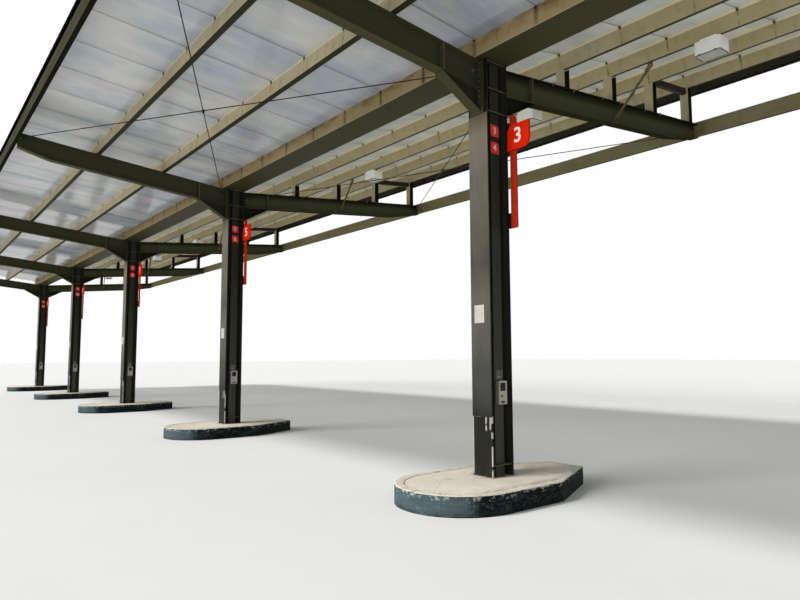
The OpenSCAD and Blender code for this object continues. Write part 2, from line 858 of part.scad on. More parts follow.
module lamp_housings() {
    color("white") for (y = lamp_ys) translate([lamp_x, y, lamp_z]) {
        linear_extrude(lamp_h - lamp_wall) difference() {
            lamp_outline(0);
            lamp_outline(lamp_wall);
        }
        translate([0, 0, lamp_h - lamp_wall]) linear_extrude(lamp_wall) lamp_outline(0);
    }
}

module lamp_glasses() {
    color(clear_sheet) for (y = lamp_ys) translate([lamp_x, y, lamp_z + lamp_wall])
        linear_extrude(lamp_glass_t) lamp_outline(lamp_wall);
}

// Wedges between the sloped purlin and the level lamps
module lamp_brackets() {
    x0 = purlin_x(1);
    x1 = x0 + purlin_w * cos(right_roof_slope);
    top = lamp_z + lamp_h;
    color(lit_steel) for (y = lamp_ys) across_at(y, lamp_l / 2)
        polygon([[x0, top], [x0, right_seat(x0)], [x1, right_seat(x1)], [x1, top]]);
}

island_kerbs();
island_slabs();
columns();
column_tees();
column_plates();
column_covers();
left_arms();
right_arms();
left_haunches();
right_haunches();
arm_stiffeners();
end_plates();
purlin_posts();
post_struts();
left_purlins();
right_purlin_1();
right_purlin_2();
right_purlin_3();
right_purlin_4();
valley_gutter();
gutter_aprons();
left_tip_bar();
right_tip_bar();
left_edge_channel();
right_edge_beam();
edge_trims();
left_panels();
right_panels();
left_glazing_bars();
right_glazing_bars();
roof_rods();
purlin_stays();
number_plates();
lane_flags();
light_strips();
strip_brackets();
notice_plates();
call_boxes();
lamp_housings();
lamp_glasses();
lamp_brackets();
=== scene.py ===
import functools
import math

import bmesh
import bpy
from mathutils import Matrix, Vector


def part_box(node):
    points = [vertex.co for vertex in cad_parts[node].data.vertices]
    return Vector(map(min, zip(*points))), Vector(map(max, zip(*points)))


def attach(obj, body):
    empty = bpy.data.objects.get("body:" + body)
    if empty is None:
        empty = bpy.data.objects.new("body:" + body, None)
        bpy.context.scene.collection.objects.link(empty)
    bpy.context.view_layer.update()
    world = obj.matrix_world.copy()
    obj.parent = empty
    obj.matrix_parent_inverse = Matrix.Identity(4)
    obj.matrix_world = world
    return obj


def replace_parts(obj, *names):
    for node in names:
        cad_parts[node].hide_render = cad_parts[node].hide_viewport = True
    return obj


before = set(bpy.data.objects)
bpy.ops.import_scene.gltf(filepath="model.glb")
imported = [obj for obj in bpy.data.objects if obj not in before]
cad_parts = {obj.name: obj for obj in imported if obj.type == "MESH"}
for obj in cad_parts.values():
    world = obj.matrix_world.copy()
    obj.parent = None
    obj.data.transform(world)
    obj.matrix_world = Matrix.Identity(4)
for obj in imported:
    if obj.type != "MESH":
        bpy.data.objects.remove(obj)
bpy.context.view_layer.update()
print("frame loaded:", len(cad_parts), "nodes")

# The canopy's own layout in metres, as the solids have it
row = {"columns": 6, "bay": 7.3, "panelsPerBay": 8, "barWidth": 0.044, "overhang": 0.75,
       "leftBarShift": 0.065, "rightBarShift": 0.02}
roof = {
    "columnTop": 4.985, "halfDepth": 0.17, "leftSlope": 6.0, "rightSlope": 5.0, "roofSlope": 10.7,
    "armFlange": 0.013, "armWeb": 0.009, "leftTip": 3.94, "rightTip": 4.99,
    "purlinDepth": 0.2, "purlinWidth": 0.076, "firstPost": 0.245, "postDepth": 0.108,
    "firstPurlin": 1.4, "purlinPitch": 1.1, "rightPurlins": 4, "leftPurlins": (1.515, 2.695),
    "gutterLeft": 0.28,
}

columnYs = [k * row["bay"] for k in range(row["columns"])]
rowEnd = columnYs[-1]
barPitch = row["bay"] / row["panelsPerBay"]
rightPurlinXs = [roof["firstPurlin"] + i * roof["purlinPitch"] for i in range(roof["rightPurlins"])]


def barYs(shift):
    inner = [k * barPitch - shift for k in range((row["columns"] - 1) * row["panelsPerBay"] + 1)]
    return [row["barWidth"] / 2 - row["overhang"], *inner, rowEnd + row["overhang"] - row["barWidth"] / 2]


def tangent(degrees):
    return math.tan(math.radians(degrees))


def leftTop(d):
    return roof["columnTop"] + (d - roof["halfDepth"]) * tangent(roof["leftSlope"])


def rightTop(d):
    return roof["columnTop"] + (d - roof["halfDepth"]) * tangent(roof["rightSlope"])


def rightSeat(d):
    first = roof["firstPurlin"]
    return rightTop(first) + roof["firstPost"] + (d - first) * tangent(roof["roofSlope"])


# ---- nodes and colours
def linear(code):
    # sRGB hex to linear, with full alpha
    parts = [int(code[i:i + 2], 16) / 255 for i in (1, 3, 5)]
    return tuple(v / 12.92 if v <= 0.04045 else ((v + 0.055) / 1.055) ** 2.4 for v in parts) + (1.0,)


def perMetre(mm):
    return 1000 / mm


def addNode(tree, kind, settings=None, inputs=None):
    # an input takes a node, one of its sockets, a hex colour or a plain value
    node = tree.nodes.new("ShaderNode" + kind)
    for name, value in (settings or {}).items():
        setattr(node, name, value)
    for name, value in (inputs or {}).items():
        if isinstance(value, bpy.types.Node):
            value = next(output for output in value.outputs if output.enabled)
        if isinstance(value, bpy.types.NodeSocket):
            tree.links.new(value, node.inputs[name])
        else:
            node.inputs[name].default_value = linear(value) if isinstance(value, str) else value
    return node


def makeMaterial(name, paint, look):
    # paint gets the call that adds nodes, the place on the object with the way a face looks, and its settings
    material = bpy.data.materials.new(name)
    material.use_nodes = True
    material.node_tree.nodes.clear()
    add = functools.partial(addNode, material.node_tree)
    paint(add, add("TexCoord").outputs, look)
    return material


def spots(add, seat, size, **more):
    # noise in blotches of so many mm, one size or three along x, y and z
    size = size if isinstance(size, tuple) else (size,) * 3
    scaled = add("Mapping", inputs={"Vector": seat["Object"], "Scale": [perMetre(mm) for mm in size]})
    return add("TexNoise", inputs={"Vector": scaled, "Scale": 1.0, **more})


def fromMark(add, seat, axis, pitch, shift=0.0):
    # distance along an axis from the nearest of a row of marks, pitch apart
    spot = add("SeparateXYZ", inputs={"Vector": seat["Object"]}).outputs[axis]
    moved = add("Math", {"operation": "ADD"}, {0: spot, 1: shift})
    return add("Math", {"operation": "PINGPONG"}, {0: moved, 1: pitch / 2})


def band(add, seat, axis, start, full, amount=1.0, base=0.0):
    # a share that grows from start to full: along X, Y or Z, by the way a face looks for a name such as
    # faceZ, or by the distance from a row of marks, given as (axis, pitch, shift)
    if isinstance(axis, tuple):
        spot = fromMark(add, seat, *axis)
    else:
        source = seat["Normal" if axis.startswith("face") else "Object"]
        spot = add("SeparateXYZ", inputs={"Vector": source}).outputs[axis[-1]]
    return add("MapRange", inputs={
        "Value": spot, "From Min": start, "From Max": full, "To Min": base, "To Max": amount})


def wear(add, seat, colour, layers, *masks):
    # lays tones over the colour one after the other, held back by each layer's bands and by the masks
    for tone, size, *rest in layers:
        shares = list(masks)
        if size:
            (start, full), amount, *rest = rest
            shares.insert(0, add("MapRange", inputs={
                "Value": spots(add, seat, size, Detail=4.0, Roughness=0.62),
                "From Min": start, "From Max": full, "To Max": amount}))
        share, *others = shares + [band(add, seat, *ends) for ends in rest]
        for other in others:
            share = add("Math", {"operation": "MULTIPLY"}, {0: share, 1: other})
        colour = add("Mix", {"data_type": "RGBA"}, {0: share, 6: colour, 7: tone})
    return colour


def finishShader(add, seat, colour, values, height=None, depth=0.0):
    # the shader: height is a node, or a grain's size in mm and its detail; depth is the bump's in mm; a
    # roughness of four numbers follows the height
    values = {"Base Color": colour, **values}
    if isinstance(height, tuple):
        height = spots(add, seat, height[0], Detail=height[1])
    if isinstance(values.get("Roughness"), tuple):
        fromLow, fromHigh, low, high = values["Roughness"]
        values["Roughness"] = add("MapRange", inputs={
            "Value": height, "From Min": fromLow, "From Max": fromHigh, "To Min": low, "To Max": high})
    if height:
        values["Normal"] = add("Bump", inputs={"Height": height, "Distance": depth / 1000, "Strength": 1.0})
    add("OutputMaterial", inputs={"Surface": add("BsdfPrincipled", inputs=values)})


def worn(add, seat, look):
    finishShader(add, seat, wear(add, seat, look["base"], look["layers"]), *look["finish"])


# ---- materials
# A layer is a tone, the size of its blotches in mm, their reach from none to full, its amount, and bands that
# hold it back; with None for the size it is a plain tone. A finish is the shader's values, the grain's size
# in mm and detail, and the depth of its bump in mm. Places are in metres.
acrossBay = ("Y", row["bay"])
bothSides = ("X", 20.0)   # marks so far apart that only the one at X = 0 counts

# the line of the purlins' feet and of the right arms' upper edge: slope along X and height at X = 0
leftFeet = (-tangent(roof["leftSlope"]), leftTop(0))
rightFeet = (tangent(roof["roofSlope"]), rightSeat(0))
rightArmEdge = (tangent(roof["rightSlope"]), rightTop(0))
lip = (roof["purlinDepth"] - 0.009, roof["purlinDepth"] - 0.006)

purlinPaint = {"under": "#20210f", "front": "#6d6650", "layers": [
    ("#bfb394", (1200, 900, 500), (0.42, 0.66), 0.8), ("#85795a", (50, 90, 500), (0.52, 0.8), 0.5),
    ("#80542c", (70, 200, 60), (0.62, 0.76), 0.4), ("#675c42", (14, 14, 40), (0.64, 0.76), 0.5)]}
darkPaint = {"base": "#43412e", "under": "#44442d", "front": "#3e3f2c", "layers": [
    ("#504e3a", (900, 900, 500), (0.42, 0.66), 0.8), ("#2d2c1e", (60, 60, 700), (0.55, 0.8), 0.6),
    ("#6a4526", 45, (0.66, 0.74), 0.5), ("#5f5d49", (12, 12, 30), (0.68, 0.76), 0.5)]}
postPaint = {"base": "#b6a98a", "under": "#26241a", "front": "#1b1a12", "layers": [
    ("#bbaf90", (500, 500, 400), (0.42, 0.66), 0.8), ("#766b50", (30, 30, 300), (0.52, 0.8), 0.5)]}
steelLooks = {
    # base tone, tones of the faces that look down and to the front, painted for the light and shade on them,
    # and layers of wear; bars is where the glazing bars stand; slanted is a tone, a sloping line, the heights
    # above it where the tone starts and is full, and its amount
    # the base tones are copies of one olive paint: paler on the purlins, posts and right tip bar for painted
    # light, and the right haunches and edge members have darker copies for painted shade
    "darkPaint": darkPaint,
    "haunchPaint": {**darkPaint, "front": "#2e2f20"},
    "rightArmPaint": {**darkPaint, "under": "#2d2d1c", "front": "#484a35", "gloss": 0.0,
                      "slanted": ("#1a1b10", rightArmEdge, (-0.13, -0.13 / 3), 0.75)},   # painted shadow of the top flange on the web
    # a near-black copy of the paint, for painted shade on the right haunches
    "shadedPaint": {"base": "#25251a", "under": "#1c1d12", "front": "#1d1f14", "layers": [
        ("#323124", (900, 900, 500), (0.42, 0.66), 0.8), ("#191911", (60, 60, 500), (0.55, 0.8), 0.6)]},
    # the strip that carries the sheets is paler
    "leftPurlinPaint": {**purlinPaint, "base": "#c9bd9c", "bars": row["leftBarShift"],
                        "slanted": ("#e6dcbc", leftFeet, lip, 0.9)},
    "rightPurlinPaint": {**purlinPaint, "base": "#b5a882", "bars": row["rightBarShift"],
                         "slanted": ("#eee2bb", rightFeet, lip, 0.9)},
    # hollow: half the width between the flanges of a post
    "postPaint": {**postPaint, "hollow": roof["postDepth"] / 2 - 0.009},
    "strutPaint": postPaint,
    "tipPaint": {"base": "#807a58", "under": "#2b291c", "front": "#4a4738", "layers": [
        ("#8c8565", (700, 1600, 400), (0.42, 0.66), 0.8), ("#5b543b", (40, 260, 200), (0.56, 0.8), 0.5)]},
    # a dark copy of the paint, for painted shade on the edge members
    "edgePaint": {"base": "#35352a", "under": "#1c1d15", "front": "#30301f", "gloss": 0.0, "layers": [
        ("#403f31", (400, 1800, 80), (0.42, 0.66), 0.8), ("#26261a", (60, 500, 60), (0.54, 0.8), 0.6)]},
    "plateSteel": {"base": "#57533f", "under": "#2a281d", "front": "#5d5c47", "layers": [
        ("#6a654f", (90, 90, 60), (0.45, 0.66), 0.7), ("#3a372a", 30, (0.55, 0.75), 0.5)]},
    "rodPaint": {"base": "#37352b", "under": "#24231b", "front": "#37352b", "layers": [
        ("#5a5648", 300, (0.5, 0.7), 0.7), ("#6a4526", 25, (0.62, 0.75), 0.5)]},
    "stayPaint": {"base": "#77704f", "under": "#3f3b28", "front": "#5f593f", "layers": [
        ("#8a8363", 120, (0.45, 0.66), 0.8), ("#4f4a34", (30, 30, 60), (0.56, 0.76), 0.6)]},
    "flashing": {"base": "#8d7a55", "under": "#8a6f47", "front": "#6d6650", "layers": [
        ("#7c5a30", (200, 500, 200), (0.44, 0.66), 0.8), ("#a39168", (90, 300, 90), (0.52, 0.76), 0.6)]},
}
paintPlan = {
    # the bands where the painted light and shade come in on the faces that look to the front and down
    "frontShadeBand": ("faceY", -0.4, -0.9, 0.96), "belowShadeBand": ("faceZ", -0.35, -0.85, 0.97),
    "hollow": 0.97, "soft": 0.002,
    "silt": ("#332c1c", (400, 500, 110), (0.4, 0.66), 0.75), "runEdges": (0.016, 0.004),
    "sway": 160, "drift": 0.008,
    "roughness": (0.3, 0.7, 0.45, 0.62), "gloss": 0.04, "grain": (9, 3.0), "depth": 0.35,
}


def rolledPaint(add, seat, look):
    # alkyd paint rolled on structural steel: half-matt and uneven, chalky where the light falls, with light and
    # shade painted on the faces that look down and to the front, rust at scratches, and a run of silt below each
    # glazing bar
    plan = paintPlan
    colour = wear(add, seat, look["base"], look["layers"])
    if "bars" in look:
        drift = add("Math", {"operation": "MULTIPLY_ADD"}, {
            0: spots(add, seat, plan["sway"]), 1: 2 * plan["drift"], 2: -plan["drift"]})
        off = add("Math", {"operation": "ADD"}, {0: fromMark(add, seat, "Y", barPitch, look["bars"]), 1: drift})
        start, full = plan["runEdges"]
        run = add("MapRange", inputs={"Value": off, "From Min": start, "From Max": full, "To Max": 1.0})
        colour = wear(add, seat, colour, [plan["silt"]], run)
    # painted light and shade: own tones on the faces that look to the front and on those that look down
    colour = wear(add, seat, colour, [
        (look["front"], None, plan["frontShadeBand"]), (look["under"], None, plan["belowShadeBand"])])
    if "hollow" in look:
        # no light reaches between the flanges of a post
        half, middle = look["hollow"], roof["firstPurlin"] + roof["postDepth"] / 2
        between = (("X", roof["purlinPitch"], -middle), half + plan["soft"], half, plan["hollow"])
        colour = wear(add, seat, colour, [(look["front"], None, between)])
    if "slanted" in look:
        tone, (slope, level), (start, full), amount = look["slanted"]
        at = add("SeparateXYZ", inputs={"Vector": seat["Object"]}).outputs
        above = add("Math", {"operation": "MULTIPLY_ADD"}, {0: at["X"], 1: -slope, 2: at["Z"]})
        share = add("MapRange", inputs={
            "Value": above, "From Min": level + start, "From Max": level + full, "To Max": amount})
        colour = add("Mix", {"data_type": "RGBA"}, {0: share, 6: colour, 7: tone})
    values = {"Roughness": plan["roughness"], "IOR": 1.5, "Specular IOR Level": look.get("gloss", plan["gloss"])}
    finishShader(add, seat, colour, values, plan["grain"], plan["depth"])


# the same alkyd paint on the columns, near black for painted shade on the section, and rubbed to pale
# filler along the edges of the flanges near the foot
columnFinish = ({"Roughness": 0.5, "IOR": 1.5, "Specular IOR Level": 0.12}, (8, 3.0), 0.3)
belowCover = (("Z", 0.88, 0.86), ("X", -0.145, -0.152))   # the left flange's face under the end of its cover
# off the middle of the flange, half width, top and bottom in metres
scrapes = ((0.143, 0.01, 0.88, 0.21), (-0.058, 0.013, 0.88, 0.70), (-0.122, 0.012, 0.88, 0.715),
           (0.06, 0.05, 0.88, 0.85))
columnLook = {"base": "#17170f", "finish": columnFinish, "layers": [
    ("#201f18", (500, 500, 900), (0.4, 0.66), 0.8),
    ("#6d6a5e", (160, 160, 60), (0.3, 0.6), 1.0, ("Z", 0.4, 0.2, 0.15)),   # road dust
    # the edges of the flanges are lighter, in soft vertical streaks
    ("#26261f", (30, 30, 600), (0.3, 0.55), 0.9, (acrossBay, 0.1485, 0.1495), ("X", 0.0, -0.1)),
    ("#0a0b08", (300, 300, 500), (0.3, 0.6), 0.75, *belowCover),
    # chips along the front corner, scrapes that run down from the cover's end, and narrow scratches
    ("#b5b3a8", (200, 200, 110), (0.47, 0.5), 0.95, ((*acrossBay, 0.15), 0.014, 0.006), *belowCover),
    *(("#9c9a90", (90, 60, 90), (0.34, 0.4), 0.85, ((*acrossBay, -off), half, half - 0.002),
       ("Z", top, top - 0.01), ("Z", bottom, bottom + 0.02), belowCover[1]) for off, half, top, bottom in scrapes),
    ("#b5b3a8", (10, 10, 70), (0.7, 0.75), 0.7, *belowCover),
    # no light reaches the bottom of the section
    ("#38372c", None, (acrossBay, 0.147, 0.12, 0.9), (bothSides, 0.168, 0.166))]}
# the same paint on the tees beside the web, dark for painted shade: darker towards the head, lighter
# towards the foot, with road dust there
teeRise = ("Z", 3.4, 0.3)
teeLook = {"base": "#2b2e23", "finish": columnFinish, "layers": [
    ("#484940", None, teeRise), ("#201f18", (30, 30, 700), (0.5, 0.78), 0.5),
    # road dust towards the foot, then painted shade in the recess beside the web
    ("#6d6a5e", (40, 40, 90), (0.62, 0.78), 0.35, teeRise), ("#14140e", None, (acrossBay, 0.096, 0.08, 0.9))]}

# folded steel gutter painted beige: rust creeps down from its upper edge between the bars, silt runs below
# each bar's end, and the underside is painted dark for its shade
gutterFinish = ({"Roughness": 0.55, "IOR": 1.5, "Specular IOR Level": 0.05}, (22, 4.0), 0.8)
gutterLook = {"base": "#968661", "finish": gutterFinish, "layers": [
    ("#aa9871", (700, 900, 300), (0.38, 0.66), 0.85), ("#44351f", (40, 60, 200), (0.56, 0.8), 0.4),
    ("#684828", (260, 300, 120), (0.38, 0.66), 0.75, ("Z", 5.06, 5.17)),
    ("#44351f", 300, (0.25, 0.6), 0.85, (("Y", barPitch, row["leftBarShift"]), 0.045, 0.01)),
    # a pale line along the lower lip, and painted shade on the underside
    ("#c2b896", None, ("Z", 5.012, 5.006, 0.7)), ("#2c2e16", None, ("faceZ", -0.35, -0.85, 0.95)),
    ("#4a4031", (500, 900, 300), (0.3, 0.6), 1.0, ("faceZ", 0.35, 0.85, 0.7))]}   # silt on the bed

coverLook = {
    # the cover's tone by height in metres, and wear that is paler towards the head
    "tones": ((0.88, "#0f1110"), (1.00, "#242625"), (1.20, "#313331"), (1.40, "#363735"), (1.65, "#454641"),
              (2.20, "#535148"), (2.60, "#3a3a34"), (3.00, "#4d4c43"), (3.60, "#5a5750"), (4.10, "#7c7364"),
              (4.40, "#56513e")),
    "layers": [("#8a8371", (600, 600, 1400), (0.46, 0.74), 0.3, ("Z", 1.3, 3.4, 1.0, 0.25)),
               ("#35332a", (24, 24, 1500), (0.48, 0.78), 0.35),
               ("#9a9788", (14, 14, 500), (0.62, 0.8), 0.3, ("Z", 1.3, 3.4, 1.0, 0.25)),
               # painted shade on the faces that look to the front
               ("#1b1b15", None, ("faceY", -0.4, -0.8, 0.9))],
    "finish": ({"Roughness": 0.42, "IOR": 1.5, "Specular IOR Level": 0.1}, (5, 2.0), 0.12),
}


def coverPaint(add, seat, look):
    # powder-coated sheet over the columns' left flanges: smooth satin, grey-brown and lighter at the head,
    # darker below, with painted shade on its front faces and fine vertical brush marks
    stops = look["tones"]
    lowest, highest = stops[0][0], stops[-1][0]
    ramp = add("ValToRGB", inputs={"Fac": band(add, seat, "Z", lowest, highest)})
    ramp.color_ramp.elements[0].color = linear(stops[0][1])
    ramp.color_ramp.elements[1].color = linear(stops[-1][1])
    for level, tone in stops[1:-1]:
        ramp.color_ramp.elements.new((level - lowest) / (highest - lowest)).color = linear(tone)
    worn(add, seat, {**look, "base": ramp})


cloudShape = ((1300, 500, 1300), (0.46, 0.7), 0.7)
sheetLooks = {
    # the second tone paints the sky's blue seen through the sheet where the haze is thin
    "left": {"base": "#d3d4d2", "cool": "#a7b5c1", "cloud": ("#c1bccb", *cloudShape), "bars": row["leftBarShift"]},
    # the right sheets: a paler copy of the same sheet, painted lighter for the light through the right roof
    "right": {"base": "#f6faf4", "cool": "#dbe6e6", "cloud": ("#c9d2c9", *cloudShape),
    "bars": row["rightBarShift"]},
}
sheetPlan = {
    "haze": (1500, 800, 1500), "hazeReach": (0.36, 0.62), "layers": [
        # bluer towards the gutter, painted for the sky seen through the sheet
        ("#8497aa", (700, 1400, 700), (0.3, 0.6), 0.45, (bothSides, 1.5, 0.9)),
        ("#e2dfd5", (2600, 300, 2600), (0.5, 0.74), 0.6), ("#bcb7a8", (900, 60, 900), (0.54, 0.8), 0.3)],
    "rib": "#82878b", "ribBand": (("Y", 0.032), 0.0, 0.004, 0.0, 0.1),
    "joint": ("#8a8472", (400, 300, 400), (0.3, 0.7), 0.3), "jointEdges": (0.022, 0.004),
    "top": "#a4a7a0", "topBand": ("faceZ", 0.3, 0.8, 0.8), "topRough": 0.5,
    "rough": (0.35, 0.7, 0.06, 0.16), "clear": (0.78, 0.86), "ior": 1.58, "depth": 1.0,
}


def clearSheet(add, seat, look):
    # extruded multiwall polycarbonate: glossy skins over fine ribs that run down the slope, hazed by dust and
    # algae in soft clouds; the ribs are drawn 32 mm apart, twice the real spacing, so that they show
    plan = sheetPlan
    haze = spots(add, seat, plan["haze"], Detail=2.0, Distortion=0.5)
    # where the haze is thin the sheet is painted bluer and less bright, for the sky seen through it
    start, full = plan["hazeReach"]
    thick = add("MapRange", inputs={"Value": haze, "From Min": start, "From Max": full, "To Max": 1.0})
    colour = add("Mix", {"data_type": "RGBA"}, {0: thick, 6: look["cool"], 7: look["base"]})
    colour = wear(add, seat, colour, [look["cloud"], *plan["layers"]])
    line = band(add, seat, *plan["ribBand"])
    colour = add("Mix", {"data_type": "RGBA"}, {0: line, 6: colour, 7: plan["rib"]})
    # silt and moss gathers beside each glazing bar
    colour = wear(add, seat, colour, [(*plan["joint"], (("Y", barPitch, look["bars"]), *plan["jointEdges"]))])
    # dust lies on the upper face and dulls it
    up = band(add, seat, *plan["topBand"])
    colour = add("Mix", {"data_type": "RGBA"}, {0: up, 6: colour, 7: plan["top"]})
    fromLow, fromHigh, low, high = plan["rough"]
    rough = add("MapRange", inputs={
        "Value": haze, "From Min": fromLow, "From Max": fromHigh, "To Min": low, "To Max": high})
    rough = add("Math", {"operation": "MULTIPLY_ADD"}, {0: up, 1: plan["topRough"], 2: rough})
    clear = add("MapRange", inputs={"Value": thick, "To Min": plan["clear"][0], "To Max": plan["clear"][1]})
    wave = add("Math", {"operation": "ADD"}, {0: haze, 1: line})
    finishShader(add, seat, colour, {"Roughness": rough, "IOR": plan["ior"], "Alpha": clear}, wave, plan["depth"])


# extruded aluminium glazing bar, once mill finish: dull, dusty olive, darkened for painted shade along the
# bar, with faint draw lines along it
barLook = {"base": "#64614f", "finish": ({"Metallic": 0.2, "Roughness": 0.5}, ((900, 6, 6), 2.0), 0.2), "layers": [
    ("#75725f", (700, 200, 700), (0.38, 0.66), 0.8), ("#4c493b", (300, 14, 14), (0.5, 0.78), 0.5)]}
# satin anodised aluminium case, brushed crosswise: the marks are drawn 3 mm apart so that they show
boxFinish = ({"Metallic": 0.45, "Roughness": 0.45}, ((160, 160, 3), 2.0), 0.06)
boxLook = {"base": "#a09e93", "finish": boxFinish, "layers": [
    ("#bbb8ac", (160, 160, 3), (0.38, 0.66), 0.9), ("#6d6c66", (60, 60, 120), (0.55, 0.8), 0.4)]}

enamelLooks = {
    # two tones, dirt, lowest roughness, size of the mottle in mm along x, y and z, and gloss
    "trim": ("#d4d9dc", "#e3e6e6", "#9b9d97", 0.35, (300, 500, 60), 0.15),
    "flagRed": ("#dc2106", "#e22c0d", "#8f2010", 0.38, (200, 200, 200), 0.02),
    "stripRed": ("#ad2611", "#b7331c", "#701a10", 0.38, (60, 60, 400), 0.05),
    "plateRed": ("#dc3f3a", "#e9524c", "#98231f", 0.3, (120, 120, 120), 0.15),
    "notice": ("#a9a89e", "#b7b6ac", "#85837a", 0.45, (80, 80, 80), 0.15),
    "lampWhite": ("#faf9f5", "#fdfdfa", "#d8d4c6", 0.32, (150, 150, 60), 0.15),
    "label": ("#4e4f46", "#5c5d53", "#3d3e37", 0.5, (30, 30, 12), 0.15),
    "labelRows": ("#7f7f75", "#8d8d82", "#5c5d55", 0.5, (20, 20, 12), 0.15),
}


def enamel(add, seat, look):
    # stoved enamel or cast acrylic: smooth and bright, faintly chalked, with soft runs of dirt
    first, second, dirt, rough, (wide, deep, tall), gloss = look
    layers = [(second, (wide, deep, tall), (0.38, 0.64), 0.9),
              (dirt, (wide / 4, deep / 4, tall), (0.6, 0.85), 0.45)]
    values = {"Roughness": (0.35, 0.7, rough, rough + 0.15), "IOR": 1.49, "Specular IOR Level": gloss}
    worn(add, seat, {"base": first, "layers": layers, "finish": (values, (40, 4.0), 0.08)})


plasticLooks = {
    # two tones and the roughness
    "cream": ("#f3ecdf", "#faf5ea", 0.35), "pinkWhite": ("#efdedb", "#f8ebe8", 0.35),
    "black": ("#0a0a0a", "#121212", 0.5), "blackRubber": ("#1c1a16", "#2a2720", 0.7),
    "packer": ("#45422f", "#565239", 0.7), "ring": ("#4d2c22", "#5f382c", 0.4),
}


def mouldedPlastic(add, seat, look):
    # moulded ABS, cut vinyl or rubber: even colour with a fine moulded grain and faint scratches
    first, second, rough = look
    values = {"Roughness": rough, "IOR": 1.49, "Specular IOR Level": 0.25}
    layers = [(second, 60, (0.4, 0.66), 0.9)]
    worn(add, seat, {"base": first, "layers": layers, "finish": (values, (3, 2.0), 0.05)})


kerbLook = {
    # the paint's tone is darkened for painted shade on the faces turned from the sun
    "paint": "#0a1011", "paintLayers": [
        ("#162024", (260, 260, 400), (0.4, 0.66), 0.8),
        ("#455458", None, ("faceX", -0.42, -0.62, 0.85)),   # painted sunlight: lighter on the side that faces the sun
        ("#4b5a5d", (18, 18, 300), (0.58, 0.78), 0.3), ("#2b3739", (240, 240, 120), (0.52, 0.6), 0.5),
        # chips to the stone, most along the top edge, and dirt at the foot
        ("#b4b8ae", (60, 60, 30), (0.54, 0.58), 0.9, ("Z", 0.14, 0.208, 1.0, 0.05)),
        ("#b4b8ae", (14, 14, 18), (0.66, 0.69), 0.7),
        ("#1d201e", (120, 120, 60), (0.25, 0.6), 1.0, ("Z", 0.06, 0.0, 0.7))],
    "stone": "#beb5a4", "stoneLayers": [
        ("#d6cfc0", 90, (0.38, 0.64), 0.9), ("#7f786a", 16, (0.58, 0.72), 0.6), ("#4b5a5d", 70, (0.6, 0.63), 0.7)],
    # the worn edge: the ragged noise's size and share, how far a face has to look up, and the reach to bare
    "ragged": 45, "raggedShare": 1.1, "bareFacing": 0.55, "bareReach": (0.42, 0.56), "grit": 11, "depth": 3.0,
    "shader": {"Roughness": 0.7, "IOR": 1.5, "Specular IOR Level": 0.05},
}


def kerbPaint(add, seat, look):
    # bitumen paint on cast concrete, with painted shade and painted sunlight on its sides: washed in vertical
    # streaks, chipped to pale stone along the top edge and in scattered flakes; the top itself is bare, rubbed
    # concrete
    colour = wear(add, seat, look["paint"], look["paintLayers"])
    stone = wear(add, seat, look["stone"], look["stoneLayers"])
    ragged = spots(add, seat, look["ragged"], Detail=6.0, Roughness=0.7)
    up = add("Math", {"operation": "SUBTRACT"}, {
        0: add("SeparateXYZ", inputs={"Vector": seat["Normal"]}).outputs["Z"], 1: look["bareFacing"]})
    edge = add("Math", {"operation": "MULTIPLY_ADD"}, {0: ragged, 1: look["raggedShare"], 2: up})
    start, full = look["bareReach"]
    bare = add("MapRange", inputs={"Value": edge, "From Min": start, "From Max": full, "To Max": 1.0})
    colour = add("Mix", {"data_type": "RGBA"}, {0: bare, 6: colour, 7: stone})
    height = add("Math", {"operation": "ADD"}, {0: spots(add, seat, look["grit"], Detail=5.0), 1: ragged})
    finishShader(add, seat, colour, look["shader"], height, look["depth"])


slabLook = {
    "base": "#c8c0b0", "layers": [
        ("#dad3c5", 500, (0.38, 0.66), 0.9), ("#8b8374", 170, (0.56, 0.74), 0.5),
        ("#a49b8a", 9, (0.5, 0.72), 0.45),
        ("#8b8374", (110, 70, 70), (0.36, 0.56), 0.85, (acrossBay, 0.5, 0.64)),
        ("#4b4438", 60, (0.3, 0.55), 0.9, (bothSides, 0.25, 0.16), (acrossBay, 0.23, 0.14))],
    # tone and size of the cracks' net, the distances where a crack starts and is full, and its amount
    "crack": ("#6b6557", 800, 0.005, 0.0, 0.5), "finish": ({"Roughness": 0.85, "IOR": 1.5}, (7, 4.0), 1.2),
}


def castConcrete(add, seat, look):
    # trowelled concrete: sandy grain, damp dark stains where water stands at the kerb, darker round the
    # column's foot, and hair cracks
    colour = wear(add, seat, look["base"], look["layers"])
    tone, size, start, full, amount = look["crack"]
    crack = add("TexVoronoi", {"feature": "DISTANCE_TO_EDGE"}, {"Vector": seat["Object"], "Scale": perMetre(size)})
    thin = add("MapRange", inputs={"Value": crack, "From Min": start, "From Max": full, "To Max": amount})
    colour = add("Mix", {"data_type": "RGBA"}, {0: thin, 6: colour, 7: tone})
    finishShader(add, seat, colour, *look["finish"])


# cell: tone and size of the cells, the distances where the tone starts and is full, and its amount; layers
# before the cells and after them
zincLook = {"base": "#9a9a92", "before": [], "cell": ("#77746a", 8, 0.1, 0.6, 1.0), "depth": 0.1,
            "after": [("#6b4a2a", 20, (0.6, 0.75), 0.5)], "shader": {"Metallic": 0.6, "Roughness": 0.48}}
glassLook = {"base": "#989e88", "before": [("#adb29c", 110, (0.38, 0.66), 0.9)], "depth": 0.3, "after": [],
             "cell": ("#686f68", 18, 0.2, 0.7, 0.22), "shader": {"Roughness": 0.12, "IOR": 1.52}}


